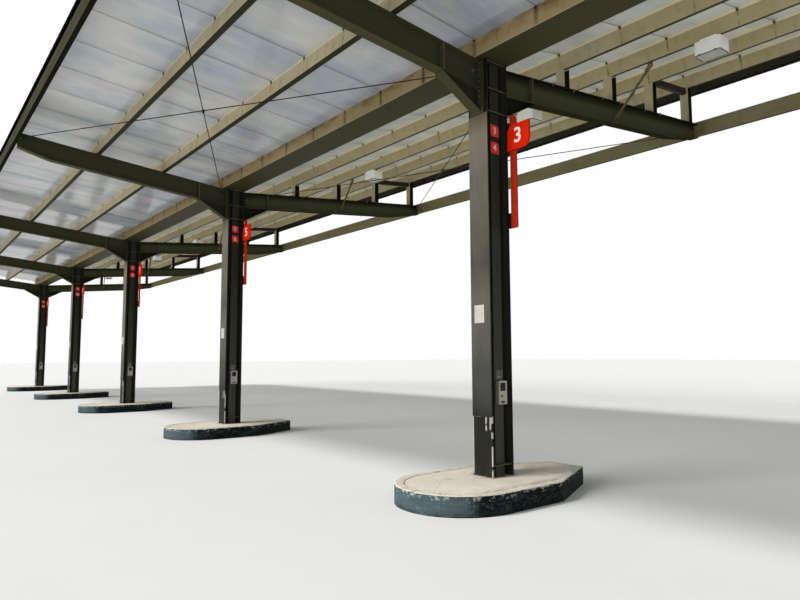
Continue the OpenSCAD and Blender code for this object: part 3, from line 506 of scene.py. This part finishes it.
def celled(add, seat, look):
    # a surface in small cells: hot-dip galvanised bolts have a dull grey spangle of 8 mm with rust at the
    # washers; toughened glass over a dim reflector has a moulded prism pattern of 18 mm, grey-green and glossy
    tone, size, start, full, amount = look["cell"]
    cells = add("TexVoronoi", inputs={"Vector": seat["Object"], "Scale": perMetre(size)})
    share = add("MapRange", inputs={"Value": cells, "From Min": start, "From Max": full, "To Max": amount})
    colour = wear(add, seat, look["base"], look["before"])
    colour = add("Mix", {"data_type": "RGBA"}, {0: share, 6: colour, 7: tone})
    finishShader(add, seat, wear(add, seat, colour, look["after"]), look["shader"], cells, look["depth"])


finishes = {}
for prefix, paint, looks in (("alkyd", rolledPaint, steelLooks), ("enamel", enamel, enamelLooks),
                             ("moulded", mouldedPlastic, plasticLooks)):
    for key, look in looks.items():
        finishes[key] = makeMaterial(prefix + key[0].upper() + key[1:], paint, look)
for key, name, paint, look in (
        ("columnPaint", "alkydColumnPaint", worn, columnLook), ("teePaint", "alkydTeePaint", worn, teeLook),
        ("coverPaint", "powderCoatedCover", coverPaint, coverLook),
        ("gutterPaint", "paintedGutterSteel", worn, gutterLook),
        ("leftSheet", "multiwallPolycarbonateLeft", clearSheet, sheetLooks["left"]),
        ("rightSheet", "multiwallPolycarbonateRight", clearSheet, sheetLooks["right"]),
        ("bar", "millAluminium", worn, barLook), ("box", "anodisedAluminium", worn, boxLook),
        ("kerb", "bitumenPaintedConcrete", kerbPaint, kerbLook),
        ("slab", "trowelledConcrete", castConcrete, slabLook),
        ("zinc", "galvanisedSteel", celled, zincLook), ("glass", "prismGlass", celled, glassLook)):
    finishes[key] = makeMaterial(name, paint, look)
print("materials made:", len(finishes))

nodeFinish = {
    "kerb": ["island_kerbs"], "slab": ["island_slabs"], "columnPaint": ["columns"], "teePaint": ["column_tees"],
    "plateSteel": ["column_plates", "arm_stiffeners"], "coverPaint": ["column_covers"],
    "darkPaint": ["left_arms", "end_plates"], "haunchPaint": ["left_haunches"], "rightArmPaint": ["right_arms"],
    "shadedPaint": ["right_haunches"], "postPaint": ["purlin_posts"],
    "strutPaint": ["post_struts", "lamp_brackets"],
    "leftPurlinPaint": ["left_purlins"],
    "rightPurlinPaint": ["right_purlin_%d" % (i + 1) for i in range(roof["rightPurlins"])],
    "gutterPaint": ["valley_gutter"], "flashing": ["gutter_aprons"], "tipPaint": ["right_tip_bar"],
    "edgePaint": ["left_tip_bar", "left_edge_channel", "right_edge_beam"], "trim": ["edge_trims"],
    "leftSheet": ["left_panels"], "rightSheet": ["right_panels"],
    "bar": ["left_glazing_bars", "right_glazing_bars"],
    "rodPaint": ["roof_rods"], "stayPaint": ["purlin_stays"], "plateRed": ["number_plates"],
    "flagRed": ["lane_flags"],
    "stripRed": ["light_strips"], "black": ["strip_brackets"], "notice": ["notice_plates"],
    "box": ["call_boxes"], "lampWhite": ["lamp_housings"], "glass": ["lamp_glasses"],
}
for finish, nodeNames in nodeFinish.items():
    for nodeName in nodeNames:
        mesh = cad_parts[nodeName].data
        mesh.materials.clear()
        mesh.materials.append(finishes[finish])
print("solids finished:", sum(len(nodeNames) for nodeNames in nodeFinish.values()))


# ---- shapes
def addObject(name, data):
    thing = bpy.data.objects.new(name, data)
    bpy.context.scene.collection.objects.link(thing)
    return thing


def makePiece(name, shape, finish, smoothAngle=None):
    # turns a bmesh into a piece at the origin that rides on the frame
    bmesh.ops.recalc_face_normals(shape, faces=shape.faces)
    if smoothAngle:
        for edge in shape.edges:
            edge.smooth = edge.is_manifold and edge.calc_face_angle() < math.radians(smoothAngle)
    mesh = bpy.data.meshes.new(name)
    for face in shape.faces:
        face.smooth = bool(smoothAngle)
    shape.to_mesh(mesh)
    shape.free()
    mesh.materials.append(finishes[finish])
    piece = addObject(name, mesh)
    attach(piece, "root")
    return piece


def roundEdges(shape, edges, offset, segments):
    return bmesh.ops.bevel(shape, geom=edges, offset=offset, affect="EDGES", segments=segments, profile=0.5,
                           material=-1)["faces"]


def addBlock(shape, low, high, turn=None, bevel=0.0, segments=1):
    # a box between two corners; turn is a matrix that is applied last
    size = [high[i] - low[i] for i in range(3)]
    middle = [(high[i] + low[i]) / 2 for i in range(3)]
    place = Matrix.Translation(middle) @ Matrix.Diagonal((*size, 1.0))
    verts = bmesh.ops.create_cube(shape, size=1.0, matrix=place)["verts"]
    if bevel:
        faces = roundEdges(shape, list({edge for vert in verts for edge in vert.link_edges}), bevel, segments)
        verts = list({vert for face in faces for vert in face.verts} | {vert for vert in verts if vert.is_valid})
    if turn:
        bmesh.ops.transform(shape, matrix=turn, verts=verts)
    return verts


def addRound(shape, start, end, radius, segments=12, endRadius=None):
    # a closed cylinder, cone or prism between two points
    start, end = Vector(start), Vector(end)
    along = end - start
    place = Matrix.Translation((start + end) / 2) @ along.to_track_quat("Z", "Y").to_matrix().to_4x4()
    return bmesh.ops.create_cone(
        shape, cap_ends=True, segments=segments, radius1=radius,
        radius2=radius if endRadius is None else endRadius, depth=along.length, matrix=place)["verts"]


# washer, hexagon head and the thread's end: radius and height as parts of the bolt's size, and corners
boltShape = ((0.95, 0.15, 12), (0.66, 0.6, 6), (0.36, 0.3, 8))


def addBolt(shape, seat, outward, size):
    seat, outward = Vector(seat), Vector(outward).normalized()
    for radius, height, corners in boltShape:
        top = seat + outward * size * height
        addRound(shape, seat, top, size * radius, corners)
        seat = top


endBolts = {"plateX": 0.19, "aside": 0.05, "size": 0.019,
            "heights": (4.485, 4.555, 4.615, 4.668, 4.735, 4.805, 4.88, 4.945)}


def makeEndPlateBolts():
    shape = bmesh.new()
    for y in columnYs:
        for side in (-1, 1):
            for aside in (-endBolts["aside"], endBolts["aside"]):
                for z in endBolts["heights"]:
                    addBolt(shape, (side * endBolts["plateX"], y + aside, z), (side, 0, 0), endBolts["size"])
    makePiece("endPlateBolts", shape, "plateSteel")


clipPlan = {"width": 0.03, "low": 0.186, "high": 0.217, "proud": 0.008, "sunk": 0.002,
            "buttonZ": 5.196, "buttonRadius": 0.014, "buttonProud": 0.012, "buttonRim": 0.6}


def purlinFaces():
    # the lower edge of each purlin's left face, and how that face leans about Y
    faces = []
    wide = roof["purlinWidth"]
    for d in roof["leftPurlins"]:
        lean = math.radians(roof["leftSlope"])
        faces.append((wide - d - wide * math.cos(lean), leftTop(d - wide) + wide * math.sin(lean), lean))
    for d in rightPurlinXs:
        faces.append((d, rightSeat(d), -math.radians(roof["roofSlope"])))
    return faces


def makeBarEnds():
    # a dark packer holds each glazing bar in the seat strip of every purlin, and a rubber button on a bolt
    # closes its lower end at the gutter
    packers, buttons = bmesh.new(), bmesh.new()
    half = clipPlan["width"] / 2
    for x, z, lean in purlinFaces():
        for y in barYs(row["leftBarShift" if x < 0 else "rightBarShift"]):
            turn = Matrix.Translation((x, y, z)) @ Matrix.Rotation(lean, 4, "Y")
            addBlock(packers, (-clipPlan["proud"], -half, clipPlan["low"]),
                     (clipPlan["sunk"], half, clipPlan["high"]), turn)
    for y in barYs(row["leftBarShift"]):
        face = Vector((-roof["gutterLeft"], y, clipPlan["buttonZ"]))
        tip = face - Vector((clipPlan["buttonProud"], 0, 0))
        rim, radius = face.lerp(tip, clipPlan["buttonRim"]), clipPlan["buttonRadius"]
        addRound(buttons, face, rim, radius, 16)
        addRound(buttons, rim, tip, radius, 16, radius * clipPlan["buttonRim"])
    makePiece("barPackers", packers, "packer")
    makePiece("gutterButtons", buttons, "blackRubber")


tipPlan = {"aside": 0.145, "margin": 0.03, "thick": 0.008, "size": 0.02, "heights": (-0.045, 0.045),
           "clampedPosts": 3, "clamps": (-0.23, 0.21), "clampY": 0.06, "clampSize": 0.016}


def makeTipPlates():
    # a plate welded to each arm's tip carries the bar along the tips on four bolts
    plates, bolts = bmesh.new(), bmesh.new()
    reach = tipPlan["aside"] + tipPlan["margin"]
    for side, node, tip in ((-1, "left_tip_bar", roof["leftTip"]), (1, "right_tip_bar", roof["rightTip"])):
        low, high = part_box(node)
        middle = (low[2] + high[2]) / 2
        x = side * (tip - tipPlan["thick"])
        for y in columnYs:
            tall = (high[2] - low[2]) / 2 - tipPlan["margin"]
            near, far = sorted((x, side * tip))
            addBlock(plates, (near, y - reach, middle - tall), (far, y + reach, middle + tall), bevel=0.002)
            for aside in (-tipPlan["aside"], tipPlan["aside"]):
                for height in tipPlan["heights"]:
                    addBolt(bolts, (x, y + aside, middle + height), (-side, 0, 0), tipPlan["size"])
    makePiece("tipPlates", plates, "tipPaint")
    # clamps on the top flange of the right arms, before and behind the first three posts
    for y in columnYs:
        for x in (d + step for d in rightPurlinXs[:tipPlan["clampedPosts"]] for step in tipPlan["clamps"]):
            for aside in (-tipPlan["clampY"], tipPlan["clampY"]):
                for drop, up in ((0, 1), (roof["armFlange"], -1)):
                    addBolt(bolts, (x, y + aside, rightTop(x) - drop), (0, 0, up), tipPlan["clampSize"])
    makePiece("tipBolts", bolts, "zinc")


rodPlan = {
    "bay": 1, "root": 0.27, "rootDrop": 0.125, "leftInset": 0.06, "leftDrop": 0.07, "rightInset": 0.08,
    "rightDrop": 0.13, "rod": 0.014, "gap": 0.0006, "gusset": 0.09, "gussetHalf": 0.005, "boltSize": 0.022,
    "webBolt": 0.02, "headSize": 0.052, "headX": 2.55, "headY": -0.64, "headDrop": 0.0467, "headReach": 0.03,
}


def makeRodBolts():
    # bolts through the gussets of the crossed rods, and the pale cap on the head pin of each stay
    shape, caps = bmesh.new(), bmesh.new()
    y0, y1 = (row["bay"] * (rodPlan["bay"] + i) for i in (0, 1))
    over = rodPlan["rod"] + rodPlan["gap"]
    size, webHalf = rodPlan["boltSize"], roof["armWeb"] / 2
    half = rodPlan["gusset"] / 2 + webHalf
    for side, top, tip in ((-1, leftTop, "left"), (1, rightTop, "right")):
        outer = roof[tip + "Tip"] - rodPlan[tip + "Inset"]
        ends = ((rodPlan["root"], rodPlan["rootDrop"]), (outer, rodPlan[tip + "Drop"]))
        for (d, drop), nearY, farY in ((ends[0], y0, y1), (ends[1], y1, y0)):
            z = top(d) - drop
            for y, turn, lowered in ((nearY, 1 if nearY == y0 else -1, 0), (farY, 1 if farY == y0 else -1, over)):
                face = z - lowered - rodPlan["gussetHalf"]
                addBolt(shape, (side * d, y + turn * half, face), (0, 0, -1), size)
                addBolt(shape, (side * (d - rodPlan["webBolt"]), y - turn * webHalf, z), (0, -turn, 0), size)
    makePiece("rodBolts", shape, "zinc")
    for y in columnYs:
        z = rightSeat(rodPlan["headX"]) - rodPlan["headDrop"]
        x, reach = rodPlan["headX"], rodPlan["headReach"]
        addRound(caps, (x - reach, y + rodPlan["headY"], z), (x + reach, y + rodPlan["headY"], z),
                 rodPlan["headSize"] / 2, 20)
    roundEdges(caps, [edge for edge in caps.edges if edge.calc_face_angle() > 1.0], 0.004, 2)
    makePiece("stayCaps", caps, "zinc", 40)


numberPlan = {
    "plateSize": 0.108, "plateY": -0.104, "plateZ": (4.171, 3.966), "raise": 0.0015, "bolder": 0.018,
    "flagSize": 0.245, "flagX": 0.135, "flagY": -0.335, "flagZ": 4.085,
}


def addNumber(shape, text, size, turn):
    # a lane number, drawn flat and centred, then placed by turn
    curve = bpy.data.curves.new("number", "FONT")
    curve.body = text
    curve.size = size
    curve.align_x = "CENTER"
    curve.align_y = "CENTER"
    curve.offset = size * numberPlan["bolder"]
    curve.extrude = numberPlan["raise"]
    curve.resolution_u = 6
    holder = addObject("number", curve)
    bpy.context.view_layer.update()
    mesh = bpy.data.meshes.new_from_object(holder.evaluated_get(bpy.context.evaluated_depsgraph_get()))
    mesh.transform(turn)
    shape.from_mesh(mesh)
    bpy.data.objects.remove(holder)
    bpy.data.curves.remove(curve)
    bpy.data.meshes.remove(mesh)


def makeNumbers():
    plates, flags = bmesh.new(), bmesh.new()
    towardsFront = Matrix.Rotation(math.radians(90), 4, "X")
    towardsLeft = Matrix.Rotation(math.radians(-90), 4, "Z") @ towardsFront
    for k, y in enumerate(columnYs):
        for offset, z in zip((1, 2), numberPlan["plateZ"]):
            place = Matrix.Translation((0, y + numberPlan["plateY"], z))
            addNumber(plates, str(2 * k + offset), numberPlan["plateSize"], place @ towardsFront)
        place = Matrix.Translation((numberPlan["flagX"], y + numberPlan["flagY"], numberPlan["flagZ"]))
        addNumber(flags, str(2 * k + 1), numberPlan["flagSize"], place @ towardsLeft)
    makePiece("plateNumbers", plates, "pinkWhite")
    makePiece("flagNumbers", flags, "cream")


callPlan = {
    "frontY": -0.15, "screen": (-0.027, 0.055, 1.145, 1.238), "namePlate": (-0.02, 0.04, 1.008, 1.036),
    "button": (-0.004, 1.089), "ring": 0.013, "knob": 0.6, "ringProud": 0.004, "knobProud": 0.008,
    "keyhole": (0.062, 1.022), "keyRadius": 0.004, "proud": 0.003, "labelProud": 0.002, "edge": 0.0008,
    "teeY": -0.1, "label": (-0.045, 0.07, 1.272, 1.379),
    # rows raised on the label: left, right, low, high as parts of its size
    "rows": ((0.08, 0.92, 0.88, 0.94), (0.0, 1.0, 0.66, 0.72), (0.2, 0.9, 0.54, 0.57), (0.1, 0.75, 0.1, 0.42)),
}


def makeCallBoxDetails():
    # screen, ringed button and lock of the call box, and the blank label on the column above it
    screens, rings, labels, rows = bmesh.new(), bmesh.new(), bmesh.new(), bmesh.new()
    plan = callPlan
    left, right, low, high = plan["label"]
    for y in columnYs:
        front, tee = y + plan["frontY"], y + plan["teeY"]

        def addPlate(shape, sides, back, proud, edge):
            addBlock(shape, (sides[0], back - proud, sides[2]), (sides[1], back, sides[3]), bevel=edge)

        def addStud(shape, centre, start, proud, radius, corners):
            addRound(shape, (centre[0], front - start, centre[1]),
                     (centre[0], front - proud, centre[1]), radius, corners)

        addPlate(screens, plan["screen"], front, plan["proud"], 0.001)
        addStud(rings, plan["button"], 0, plan["ringProud"], plan["ring"], 24)
        addStud(screens, plan["button"], plan["ringProud"], plan["knobProud"], plan["ring"] * plan["knob"], 20)
        addStud(screens, plan["keyhole"], 0, plan["proud"], plan["keyRadius"], 12)
        addPlate(labels, plan["namePlate"], front, plan["labelProud"], plan["edge"])
        addPlate(labels, plan["label"], tee, plan["labelProud"], plan["edge"])
        for start, end, lowest, highest in plan["rows"]:
            sides = (left + start * (right - left), left + end * (right - left),
                     low + lowest * (high - low), low + highest * (high - low))
            addPlate(rows, sides, tee - plan["labelProud"], plan["proud"] - plan["labelProud"], plan["edge"] / 2)
    makePiece("callScreens", screens, "black")
    makePiece("callRings", rings, "ring")
    makePiece("columnLabels", labels, "label")
    makePiece("labelRows", rows, "labelRows")


lampPlan = {
    "offset": 1.48, "corner": 0.028, "rimDepth": 0.008, "rimInset": 0.004, "round": 0.008, "glassInset": 0.014,
    "glassLift": 0.0005, "trayWall": 0.009, "clip": (0.03, 0.006, 0.012),
    "clipEnds": (-0.3, 0.3), "clipLift": 0.002,
    "lid": 0.016, "lidEnds": (-0.37, 0.27), "lidSunk": 0.01, "lidInset": 0.001, "lidRound": 0.005,
}


def addRoundedBox(shape, low, high, corner):
    # a box whose upright corners are rounded
    edges = {edge for vert in addBlock(shape, low, high) for edge in vert.link_edges}
    roundEdges(shape, [edge for edge in edges if abs(edge.verts[0].co.z - edge.verts[1].co.z) > 0.002], corner, 4)


def makeLamps():
    # moulded housings with rounded edges and a raised lid, a dark frame under each and the glass set in it
    plan = lampPlan
    low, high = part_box("lamp_housings")
    ys = [y + side * plan["offset"] for y in columnYs for side in (-1, 1)]
    ys = [y for y in ys if -row["overhang"] < y < rowEnd + row["overhang"]]
    half = min(ys) - low[1]
    rim = low[2] + plan["rimDepth"]
    lidLow = high[2] - plan["lid"]
    inset, gap = plan["rimInset"], plan["glassInset"]
    cases, frames, panes = bmesh.new(), bmesh.new(), bmesh.new()
    for y in ys:
        addRoundedBox(cases, (low[0], y - half, rim), (high[0], y + half, lidLow), plan["corner"])
        # the frame: a shallow tray with the same corners; its bottom is sunk later
        addRoundedBox(frames, (low[0] + inset, y - half + inset, low[2]), (high[0] - inset, y + half - inset, rim),
                      plan["corner"] - inset)
        addBlock(panes, (low[0] + gap, y - half + gap, low[2] + plan["glassLift"]),
                 (high[0] - gap, y + half - gap, low[2] + plan["rimDepth"] / 2), bevel=0.001)
    frames.normal_update()
    bottoms = [face for face in frames.faces if face.normal.z < -0.9]
    bmesh.ops.inset_individual(frames, faces=bottoms, thickness=plan["trayWall"], depth=-plan["rimDepth"] / 2)
    wide, deep, tall = plan["clip"]
    base = low[2] + plan["clipLift"]
    for y in (y + 2 * half * share for y in ys for share in plan["clipEnds"]):
        for x in (low[0], high[0] - deep):
            addBlock(frames, (x, y - wide / 2, base), (x + deep, y + wide / 2, base + tall), bevel=0.001)
    roundEdges(cases, [edge for edge in cases.edges if edge.calc_face_angle() > 1.2], plan["round"], 3)
    for y in ys:
        start, end = (y + 2 * half * share for share in plan["lidEnds"])
        addBlock(cases, (low[0] + plan["lidInset"], start, lidLow - plan["lidSunk"]),
                 (high[0] - plan["lidInset"], end, high[2]), bevel=plan["lidRound"], segments=2)
    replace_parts(makePiece("lampCases", cases, "lampWhite", 35), "lamp_housings")
    makePiece("lampFrames", frames, "black")
    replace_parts(makePiece("lampPanes", panes, "glass"), "lamp_glasses")


kerbPlan = {"round": 0.016, "merge": 0.0001, "flat": 1.0}   # metres, and degrees


def makeKerbs():
    # the kerb rings with worn, rounded upper edges
    shape = bmesh.new()
    shape.from_mesh(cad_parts["island_kerbs"].data)
    bmesh.ops.remove_doubles(shape, verts=shape.verts, dist=kerbPlan["merge"])
    bmesh.ops.dissolve_limit(
        shape, angle_limit=math.radians(kerbPlan["flat"]), verts=shape.verts, edges=shape.edges)
    top = max(vert.co.z for vert in shape.verts)
    rims = [edge for edge in shape.edges if all(vert.co.z > top - 0.001 for vert in edge.verts)]
    roundEdges(shape, rims, kerbPlan["round"], 3)
    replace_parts(makePiece("wornKerbs", shape, "kerb"), "island_kerbs")


for make in (makeEndPlateBolts, makeBarEnds, makeTipPlates, makeRodBolts, makeNumbers, makeCallBoxDetails,
             makeLamps, makeKerbs):
    make()
print("pieces made")

# ---- floor, light and camera
stage = {
    "floor": 400.0, "floorColour": "#d6d6d4", "floorClouds": ("#dcdcda", 2500, (0.4, 0.7), 0.5), "floorRough": 0.9,
    "worldLight": 0.42, "background": 1.0,
    # where each sun stands, seen from the canopy
    "suns": {
        "highSun": {"strength": 2.4, "angle": 10.0, "from": (-0.65, 0.25, 0.75)},
        "lowSun": {"strength": 3.0, "angle": 30.0, "from": (-1.0, 0.2, 0.32)},
    },
}


def plainFloor(add, seat, look):
    # matt studio floor, very faintly clouded
    colour = wear(add, seat, look["floorColour"], [look["floorClouds"]])
    finishShader(add, seat, colour, {"Roughness": look["floorRough"]})


def makeFloor():
    shape = bmesh.new()
    bmesh.ops.create_grid(shape, x_segments=1, y_segments=1, size=stage["floor"] / 2)
    mesh = bpy.data.meshes.new("floor")
    shape.to_mesh(mesh)
    shape.free()
    mesh.materials.append(makeMaterial("paleFloor", plainFloor, stage))
    addObject("floor", mesh)


def makeWorld():
    # white for the eye, for gloss and through clear sheets; dimmer as a light
    world = bpy.data.worlds.new("studio")
    bpy.context.scene.world = world
    world.use_nodes = True
    world.node_tree.nodes.clear()
    add = functools.partial(addNode, world.node_tree)
    rays = add("LightPath").outputs
    seen = add("Math", {"operation": "MAXIMUM"}, {0: rays["Is Camera Ray"], 1: rays["Is Glossy Ray"]})
    seen = add("Math", {"operation": "MAXIMUM"}, {0: seen, 1: rays["Is Transmission Ray"]})
    strength = add("MapRange", inputs={
        "Value": seen, "To Min": stage["worldLight"], "To Max": stage["background"]})
    background = add("Background", inputs={"Color": "#ffffff", "Strength": strength})
    add("OutputWorld", inputs={"Surface": background})


def makeSuns():
    for name, plan in stage["suns"].items():
        light = bpy.data.lights.new(name, "SUN")
        light.energy = plan["strength"]
        light.angle = math.radians(plan["angle"])
        addObject(name, light).rotation_euler = Vector(plan["from"]).to_track_quat("Z", "Y").to_euler()


cameraPlan = {
    "place": (-5.384, 2.184, 1.541), "yaw": 38.30, "pitch": 5.04, "roll": 0.207,
    "focalPixels": 636.29, "imageWidth": 800, "sensor": 36.0, "reach": 500,
}


def makeCamera():
    yaw, pitch, roll = (math.radians(cameraPlan[key]) for key in ("yaw", "pitch", "roll"))
    forward = Vector((math.sin(yaw) * math.cos(pitch), math.cos(yaw) * math.cos(pitch), math.sin(pitch)))
    right = Vector((math.cos(yaw), -math.sin(yaw), 0))
    down = forward.cross(right)
    turnedRight = right * math.cos(roll) + down * math.sin(roll)
    turnedDown = down * math.cos(roll) - right * math.sin(roll)
    data = bpy.data.cameras.new("photoCamera")
    data.sensor_width = cameraPlan["sensor"]
    data.lens = cameraPlan["focalPixels"] / cameraPlan["imageWidth"] * cameraPlan["sensor"]
    data.clip_end = cameraPlan["reach"]
    camera = addObject("photoCamera", data)
    rotation = Matrix((turnedRight, -turnedDown, -forward)).transposed().to_4x4()
    camera.matrix_world = Matrix.Translation(cameraPlan["place"]) @ rotation
    bpy.context.scene.camera = camera


makeFloor()
makeWorld()
makeSuns()
makeCamera()
bpy.context.scene.view_settings.view_transform = "Standard"
print("light and camera set")
